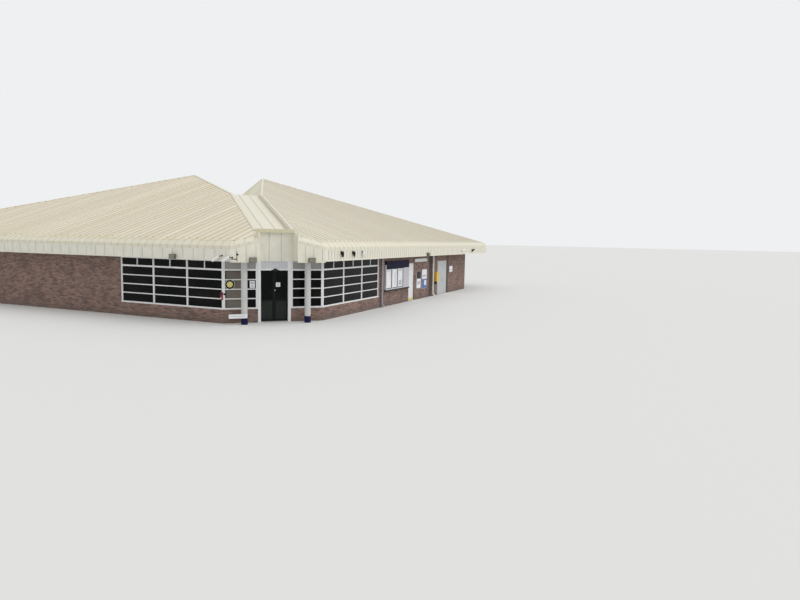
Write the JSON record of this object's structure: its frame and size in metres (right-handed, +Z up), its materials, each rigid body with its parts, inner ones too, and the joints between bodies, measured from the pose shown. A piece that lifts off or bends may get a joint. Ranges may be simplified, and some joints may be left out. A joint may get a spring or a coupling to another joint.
{
  "type": "railway station building",
  "caption": "Single-storey station building: eight-sided brick and glass hall under a square metal roof cut by a diagonal channel, with a corner entrance.",
  "frame": {"origin": "on the ground under the middle of the square roof", "axes": "+Z up, the platform side faces -Y, the forecourt side faces -X, the entrance faces between them"},
  "size_m": [30.59, 30.59, 8.2083],
  "materials": {
    "brick": "rough",
    "floor_concrete": "matt",
    "roof_metal": "weathered satin",
    "cap_metal": "weathered matt",
    "fascia_metal": "satin",
    "soffit_metal": "satin",
    "eaves_timber": "sawn",
    "window_white": "satin",
    "window_glass": "clear",
    "upper_panel_grey": "satin",
    "door_glass": "clear",
    "door_leaf_dark": "satin",
    "track_steel": "brushed",
    "staff_door_white": "satin",
    "store_door_grey": "satin",
    "door_frame_paint": "satin",
    "column_paint": "satin",
    "column_base_blue": "satin",
    "case_grey": "satin",
    "pipe_grey": "matt",
    "lamp_housing": "matt"
  },
  "bodies": {
    "building": {"floor_slab": "floor_concrete", "platform_wall_near": "brick", "platform_wall_middle": "brick", "platform_wall_far": "brick", "service_door_heads": "brick", "forecourt_wall": "brick", "far_wall": "brick", "rear_wall": "brick", "corner_walls": "brick", "window_dados": "brick", "entrance_dados": "brick", "window_frames": "window_white", "entrance_window_frames": "window_white", "window_glass": "window_glass", "entrance_upper_panels": "upper_panel_grey", "entrance_portal": "window_white", "entrance_door_track": "track_steel", "service_door_frames": "door_frame_paint", "columns": "column_paint", "column_bases": "column_base_blue", "eaves_beams": "eaves_timber", "soffit_sides": "soffit_metal", "soffit_corners": "soffit_metal", "fascia_platform_and_rear": "fascia_metal", "fascia_forecourt_and_far": "fascia_metal", "fascia_entrance": "fascia_metal", "roof_platform_slope": "roof_metal", "roof_forecourt_slope": "roof_metal", "roof_far_slope": "roof_metal", "roof_rear_slope": "roof_metal", "roof_channel_floor": "roof_metal", "roof_channel_cheeks": "roof_metal", "roof_entrance_strip": "roof_metal", "entrance_gable": "fascia_metal", "entrance_cap": "cap_metal", "notice_case": "case_grey", "downpipes": "pipe_grey", "fascia_lights": "lamp_housing"},
    "entrance_leaf_left": {"entrance_leaf_left": "door_leaf_dark", "entrance_leaf_left_glass": "door_glass"},
    "entrance_leaf_right": {"entrance_leaf_right": "door_leaf_dark", "entrance_leaf_right_glass": "door_glass"},
    "staff_door": {"staff_door": "staff_door_white"},
    "store_door_left": {"store_door_left": "store_door_grey"},
    "store_door_right": {"store_door_right": "store_door_grey"}
  },
  "joints": [
    {"name": "entrance_right_slide", "type": "slide", "parent": "building", "child": "entrance_leaf_right", "axis": [0.7071, -0.7071, 0], "range_m": [0, 0.6]},
    {"name": "entrance_left_slide", "type": "slide", "parent": "building", "child": "entrance_leaf_left", "axis": [-0.7071, 0.7071, 0], "range_m": [0, 0.6]},
    {"name": "staff_door_hinge", "type": "hinge", "parent": "building", "child": "staff_door", "pos_m": [-0.586, -14.499, 1.2], "axis": [0, 0, -1], "range_deg": [0, 90]},
    {"name": "store_left_hinge", "type": "hinge", "parent": "building", "child": "store_door_left", "pos_m": [4.814, -14.499, 1.2], "axis": [0, 0, -1], "range_deg": [0, 90]},
    {"name": "store_right_hinge", "type": "hinge", "parent": "building", "child": "store_door_right", "pos_m": [6.806, -14.499, 1.2], "axis": [0, 0, 1], "range_deg": [0, 90]}
  ],
  "couplings": [
    {"joint": "entrance_left_slide", "follows": "entrance_right_slide", "ratio": 1}
  ]
}
